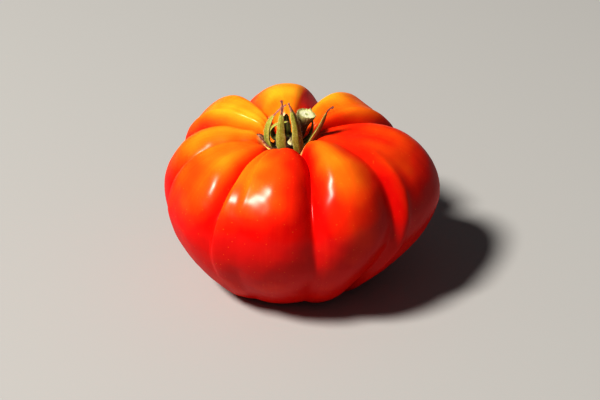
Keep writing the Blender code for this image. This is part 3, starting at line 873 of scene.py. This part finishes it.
def sepal_grid(sepal, seed):
    """A sepal's points in rings from root to tip, with its poles and its fields."""
    shares = np.linspace(0.0, 1.0, SEPAL_RINGS + 2)
    path = spline(sepal.route, shares)
    outline = np.array(SEPAL_OUTLINE)
    places = np.interp(shares, (0.0, sepal.dried, 1.0), (0.0, TIP_START, 1.0))
    width = sepal.width * np.interp(places, outline[:, 0], outline[:, 1])
    width = np.pad(width, WIDTH_BLEND // 2, mode="edge")
    width = np.convolve(width, np.ones(WIDTH_BLEND) / WIDTH_BLEND, mode="valid")
    belly = np.array(sepal.route[2][:2]) - HUB_CENTRE
    outward = np.array([*belly / np.hypot(*belly), 0.0])
    flank = np.cross((0.0, 0.0, 1.0), outward)
    angle = np.arange(SEPAL_SIDES) * 2 * np.pi / SEPAL_SIDES
    across, lift = sepal_section(angle)
    withered = 1.0 if sepal.name == "withered" else 0.0
    shade_brown = SHADED_SEPALS.get(sepal.name, SHADE_ELSEWHERE)
    rings, dryness, pallor_and_painted_light, painted_shade, fibres = [], [], [], [], []
    draw = np.random.default_rng(seed)
    start_dry = (sepal.dried - DRY_LEAD) * (1 - withered)
    phase = draw.uniform(0, 2 * np.pi, 3)
    for i in range(1, SEPAL_RINGS + 1):
        along = path[i + 1] - path[i - 1]
        along /= np.linalg.norm(along)
        side = flank - along * (flank @ along)
        side /= np.linalg.norm(side)
        face = np.cross(side, along)
        s = shares[i]
        dry = float(smooth(s, start_dry, start_dry + DRY_FADE)) if not withered else 1.0
        twist = SEPAL_TWIST * np.sin(5 * s + phase[0])
        turn = np.radians(twist + TIP_TWIST * dry * (s - start_dry) * np.sin(phase[1]))
        side, face = (side * np.cos(turn) + face * np.sin(turn), face * np.cos(turn) - side * np.sin(turn))
        swell = 1 + 0.05 * np.sin(17 * s + phase[1]) + 0.03 * np.sin(41 * s + phase[2])
        half = width[i] * swell / 2
        thick = max(width[i] * SEPAL_THICKNESS, LEAST_THICKNESS) / 2
        ring = path[i] + np.outer(across * half, side) + np.outer(lift * thick, face)
        rings.append(ring)
        dryness.append(np.full(SEPAL_SIDES, dry))
        # Painted highlights along the edges, and painted shade on the inner face and near the root
        pale = PALE_BLADE + RIM_HIGHLIGHT * np.abs(across) ** 6 + np.where(lift > 0, OUTSIDE_LIGHT, INSIDE_SHADE)
        pallor_and_painted_light.append(pale - ROOT_SHADE * (1 - smooth(s, 0.0, ROOT_SHADE_LENGTH)) + PALE_WITHERED * withered)
        from_path = (ring - path[i]) / np.linalg.norm(ring - path[i], axis=1, keepdims=True)
        # Painted shade: brown on the side turned from the light
        painted_shade.append(shade_brown * smooth(from_path @ SHADED_SIDE, *SHADE_EDGE))
        fibres.append(np.stack([FIBRE_RADIUS * np.cos(angle), FIBRE_RADIUS * np.sin(angle),
                                np.full(SEPAL_SIDES, s * FIBRE_LENGTH + seed)], axis=1))
    rings = np.array(rings)
    dryness = np.array(dryness)
    crinkle = np.stack([wander(rings, CRINKLE_LENGTH, seed + more) for more in (40, 50, 60)], axis=2)
    rings = rings + CRINKLE_HEIGHT * dryness[:, :, None] * crinkle
    fields = {
        "dryness": dryness,
        "pallor_and_painted_light": np.clip(pallor_and_painted_light, 0, 1),
        "painted_shade": np.array(painted_shade),
        "hairs": np.where(lift > 0, 1.0, INNER_HAIRS) * (1 - dryness),
        "fibre_map": np.array(fibres),
    }
    return rings, (path[0], path[-1]), fields


def hub_grid():
    """The pad that the sepals grow from, ribbed towards each of them."""
    foot = CAVITY_FLOOR + GAP
    out, up = spline(HUB_PROFILE, np.linspace(0, 1, HUB_RINGS)).T
    angle = np.arange(HUB_SIDES) * 2 * np.pi / HUB_SIDES
    rings = []
    for o, u in zip(out, up):
        reach = HUB_RADIUS * o * (1 + ripples(angle, HUB_WAVES) * smooth(o, 0.3, 0.9))
        rings.append(np.stack([HUB_CENTRE[0] + reach * np.cos(angle), HUB_CENTRE[1] + reach * np.sin(angle),
                               np.full(HUB_SIDES, foot + HUB_HEIGHT * u)], axis=1))
    rings = np.array(rings)
    start = (*HUB_CENTRE, foot)
    end = (*HUB_CENTRE, foot + HUB_HEIGHT)
    shape = rings.shape[:2]
    fibres = np.stack(np.broadcast_arrays(0.002 * np.cos(angle), 0.002 * np.sin(angle),
                                          0.001 * np.arange(HUB_RINGS)[:, None] / HUB_RINGS), axis=2)
    # Painted shade: the hub is dark and brown all over, for the shade under the sepals
    fields = {
        "dryness": np.clip(0.15 + 0.2 * wander(rings, 0.003, 72), 0, 1),
        "pallor_and_painted_light": np.clip(0.02 + 0.08 * wander(rings, 0.002, 71), 0, 1),
        "painted_shade": np.full(shape, 0.8),
        "hairs": np.full(shape, 0.05),
        "fibre_map": fibres,
    }
    return rings, (start, end), fields


def make_calyx(material):
    """The hub and all its sepals as one piece."""
    points, faces = [], []
    fields = {}
    grids = [hub_grid()]
    for number, sepal in enumerate(SEPALS):
        grids.append(sepal_grid(sepal, number + 1))
    count = 0
    for rings, (start, end), given in grids:
        made = tube_faces(rings.shape[0], rings.shape[1], count)
        faces += [face[::-1] for face in made] if rings is grids[0][0] else made
        points.append(with_poles(rings, start, end))
        for key, grid in given.items():
            fields.setdefault(key, []).append(with_poles(grid, grid[0].mean(axis=0), grid[-1].mean(axis=0)))
        count += len(points[-1])
    points = np.concatenate(points)
    points[:, :2] += STEM_AXIS
    return make_object("haired_calyx", points, faces, [material],
                       {key: np.concatenate(parts) for key, parts in fields.items()})


# The stem


def make_stem(bark, pulp):
    """The stub, ribbed lengthwise, with a ragged rim round a rough cut face."""
    foot = CAVITY_FLOOR + GAP + HUB_HEIGHT + GAP
    angle = np.arange(STEM_SIDES) * 2 * np.pi / STEM_SIDES
    tilt = np.radians(CUT_LEAN)
    shares = np.linspace(0.0, 1.0, STEM_RINGS)
    top = STEM_STATIONS[-1][2]
    from_spike = np.abs(degrees_from(np.degrees(angle), SPIKE_AZIMUTH))
    from_notch = degrees_from(np.degrees(angle), NOTCH_AZIMUTH)
    ragged = (SPIKE_HEIGHT * np.clip(1 - from_spike / (0.5 * SPIKE_WIDTH), 0, 1)
              - NOTCH_DEPTH * np.exp(-(from_notch / NOTCH_WIDTH) ** 2) + ripples(angle, RIM_WAVES))
    rings = []
    for s, (x, y, up, radius) in zip(shares, spline(STEM_STATIONS, shares)):
        ribs = 1 + 0.030 * np.sin(angle * 11 + 3 * s) * (1 - 0.5 * s) + 0.018 * np.sin(angle * 23 + 9 * s)
        reach = radius * ribs
        ring = np.stack([x + reach * np.cos(angle), y + reach * np.sin(angle),
                         foot + up - np.cos(angle) * reach * np.tan(tilt * up / top)], axis=1)
        ring[:, 2] += ragged * smooth(s, RAGGED_FROM, 1.0)
        rings.append(ring)
    x, y, up, radius = STEM_STATIONS[-1]
    cut_shares = np.linspace(CUT_RIM, CUT_MIDDLE, CUT_RINGS)
    for o in cut_shares:
        reach = radius * o
        dish = CUT_DISH * smooth(1 - o, 0.0, 0.2)
        ring = np.stack([x + reach * np.cos(angle), y + reach * np.sin(angle),
                         foot + up - dish - np.cos(angle) * reach * np.tan(tilt)], axis=1)
        ring[:, 2] += ragged * smooth(o, 0.78, CUT_RIM) + 0.00005 * np.sin(angle * 17) * o
        ring[:, 2] += swings(ring, CUT_GRAIN) - PITH_DIP * (1 - smooth(o, 0.06, 0.16))
        rings.append(ring)
    rings = np.array(rings)
    rind = rings[:STEM_RINGS]
    rings[:STEM_RINGS] = rind + swings(rind, BARK_GRAIN)[:, :, None] * np.array((1, 1, 0.3))
    start = (*STEM_STATIONS[0][:2], foot)
    end = (x, y, foot + up - CUT_DISH - PITH_DIP)
    points = with_poles(rings, start, end)
    points[:, :2] += STEM_AXIS
    by_ring = {
        "along": (np.concatenate([shares, np.ones(CUT_RINGS)]), 0.0, 1.0),
        "cut_radius": (np.concatenate([np.ones(STEM_RINGS), cut_shares / CUT_RIM]), 1.0, 0.0),
        "hairs": (np.concatenate([0.15 + 0.85 * smooth(shares, 0.55, 0.8), np.zeros(CUT_RINGS)]), 0.0, 0.0),
    }
    fields = {}
    for key, (values, first, last) in by_ring.items():
        fields[key] = with_poles(np.repeat(values[:, None], STEM_SIDES, axis=1), first, last)
    faces = [face[::-1] for face in tube_faces(len(rings), STEM_SIDES)]
    kinds = np.where(np.arange(len(faces)) < STEM_SIDES * STEM_RINGS, 0, 1).astype(np.int32)
    return make_object("cut_stalk", points, faces, [bark, pulp], fields, kinds)


# Hairs


def hair_tree(material):
    """Geometry Nodes that grow fine hairs out of a surface, each leaning a random way."""
    tree = bpy.data.node_groups.new("fine_hairs", "GeometryNodeTree")
    tree.is_modifier = True
    face = tree.interface
    face.new_socket("Geometry", in_out="INPUT", socket_type="NodeSocketGeometry")
    sizes = (("Hairs per area", 1.0), ("Hair length", 0.001), ("Root radius", 0.0001), ("Lean", 0.5))
    for name, value in sizes:
        socket = face.new_socket(name, in_out="INPUT", socket_type="NodeSocketFloat")
        socket.default_value = value
    face.new_socket("Seed", in_out="INPUT", socket_type="NodeSocketInt")
    face.new_socket("Geometry", in_out="OUTPUT", socket_type="NodeSocketGeometry")
    given = add_node(tree, "NodeGroupInput").outputs
    share = add_node(tree, "GeometryNodeInputNamedAttribute", {"Name": "hairs"}, data_type="FLOAT")
    density = add_node(tree, "ShaderNodeMath", {0: share.outputs["Attribute"], 1: given["Hairs per area"]},
                       operation="MULTIPLY")
    spots = add_node(tree, "GeometryNodeDistributePointsOnFaces", {
        "Mesh": given["Geometry"], "Density": density.outputs[0], "Seed": given["Seed"]},
        distribute_method="RANDOM")
    upright = add_node(tree, "FunctionNodeAlignRotationToVector", {"Vector": spots.outputs["Normal"]},
                       axis="Z")
    least = add_node(tree, "ShaderNodeVectorMath", {0: (-1.0, -1.0, -3.0), "Scale": given["Lean"]},
                     operation="SCALE")
    most = add_node(tree, "ShaderNodeVectorMath", {0: (1.0, 1.0, 3.0), "Scale": given["Lean"]},
                    operation="SCALE")
    lean = add_node(tree, "FunctionNodeRandomValue", {
        "Min": least.outputs[0], "Max": most.outputs[0], "Seed": given["Seed"]}, data_type="FLOAT_VECTOR")
    turn = add_node(tree, "FunctionNodeEulerToRotation", {0: lean.outputs[0]})
    leaning = add_node(tree, "FunctionNodeRotateRotation", {
        "Rotation": upright.outputs["Rotation"], "Rotate By": turn.outputs[0]}, rotation_space="LOCAL")
    size = add_node(tree, "FunctionNodeRandomValue", {2: 0.45, 3: 1.0, "Seed": given["Seed"]},
                    data_type="FLOAT")
    hair = add_node(tree, "GeometryNodeMeshCone", {
        "Vertices": 3, "Radius Top": 0.0, "Radius Bottom": given["Root radius"],
        "Depth": given["Hair length"]}, fill_type="TRIANGLE_FAN")
    placed = add_node(tree, "GeometryNodeInstanceOnPoints", {
        "Points": spots.outputs["Points"], "Instance": hair.outputs["Mesh"],
        "Rotation": leaning.outputs["Rotation"], "Scale": size.outputs[1]})
    real = add_node(tree, "GeometryNodeRealizeInstances", {"Geometry": placed.outputs["Instances"]})
    finished = add_node(tree, "GeometryNodeSetMaterial", {
        "Geometry": real.outputs["Geometry"], "Material": material})
    add_node(tree, "NodeGroupOutput", {"Geometry": finished.outputs["Geometry"]})
    return tree


def grow_hairs(name, host, tree, sizes):
    """Hairs on a copy of the host's surface, as a plain mesh."""
    sizes = {"Root radius": HAIR_RADIUS, "Lean": HAIR_LEAN, **sizes}
    made = bpy.data.objects.new(name, host.data.copy())
    bpy.context.scene.collection.objects.link(made)
    modifier = made.modifiers.new("hairs", "NODES")
    modifier.node_group = tree
    for item in tree.interface.items_tree:
        if item.in_out == "INPUT" and item.name in sizes:
            modifier[item.identifier] = sizes[item.name]
    graph = bpy.context.evaluated_depsgraph_get()
    grown = bpy.data.meshes.new_from_object(made.evaluated_get(graph))
    made.modifiers.clear()
    made.data = grown
    grown.shade_smooth()
    return made


# The studio


def make_studio():
    """A pale floor, one soft key light from the upper left, a dim world, and the photograph's camera."""
    corners = [(x * FLOOR_REACH, y * FLOOR_REACH, 0) for x, y in ((-1, -1), (1, -1), (1, 1), (-1, 1))]
    floor_mesh = bpy.data.meshes.new("floor")
    floor_mesh.from_pydata(corners, [], [(0, 1, 2, 3)])
    floor_mesh.materials.append(studio_floor())
    floor = bpy.data.objects.new("floor", floor_mesh)
    bpy.context.scene.collection.objects.link(floor)

    middle = Vector((*STEM_AXIS, AIM_HEIGHT))
    key_data = bpy.data.lights.new("key", "AREA")
    key_data.shape = "DISK"
    key_data.size = KEY_SIZE
    key_data.energy = KEY_POWER
    key_data.color = KEY_COLOUR
    key = bpy.data.objects.new("key", key_data)
    key.location = middle + Vector(KEY_DIRECTION).normalized() * KEY_DISTANCE
    key.rotation_euler = Vector(KEY_DIRECTION).to_track_quat("Z", "Y").to_euler()
    bpy.context.scene.collection.objects.link(key)

    world = bpy.data.worlds.new("studio")
    world.use_nodes = True
    background = world.node_tree.nodes["Background"]
    background.inputs["Color"].default_value = SKY_COLOUR
    background.inputs["Strength"].default_value = SKY_STRENGTH
    bpy.context.scene.world = world

    lift = np.radians(CAMERA_ELEVATION)
    back = Vector((0.0, -np.cos(lift), np.sin(lift)))
    up = Vector((0.0, np.sin(lift), np.cos(lift)))
    camera_data = bpy.data.cameras.new("camera")
    camera_data.sensor_width = SENSOR
    camera_data.lens = SENSOR * CAMERA_DISTANCE / FRAME_WIDTH
    camera_data.clip_start = 0.01
    camera = bpy.data.objects.new("camera", camera_data)
    camera.location = middle + Vector((AIM_RIGHT, 0.0, 0.0)) - up * AIM_DOWN + back * CAMERA_DISTANCE
    camera.rotation_euler = back.to_track_quat("Z", "Y").to_euler()
    bpy.context.scene.collection.objects.link(camera)
    bpy.context.scene.camera = camera
    bpy.context.scene.view_settings.view_transform = "Standard"
    bpy.context.scene.view_settings.gamma = VIEW_GAMMA


def main():
    """Builds the studio and the five pieces, and gives each piece its body and hides the node it replaces."""
    make_studio()
    sepal_material = haired_sepal()
    skin = make_skin(waxy_skin())
    calyx = make_calyx(sepal_material)
    stem = make_stem(stalk_bark(), cut_pulp())
    tree = hair_tree(plant_hair())
    calyx_hairs = grow_hairs("calyx_hairs", calyx, tree, CALYX_HAIRS)
    stem_hairs = grow_hairs("stalk_hairs", stem, tree, STALK_HAIRS)
    for piece, node, slot in (
        (skin, "fruit", "tomato_skin"),
        (calyx, "calyx", "sepal"),
        (stem, "stem", "stem"),
        (calyx_hairs, None, "sepal"),
        (stem_hairs, None, "stem"),
    ):
        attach(piece, "root")
        if node:
            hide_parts(node)


main()
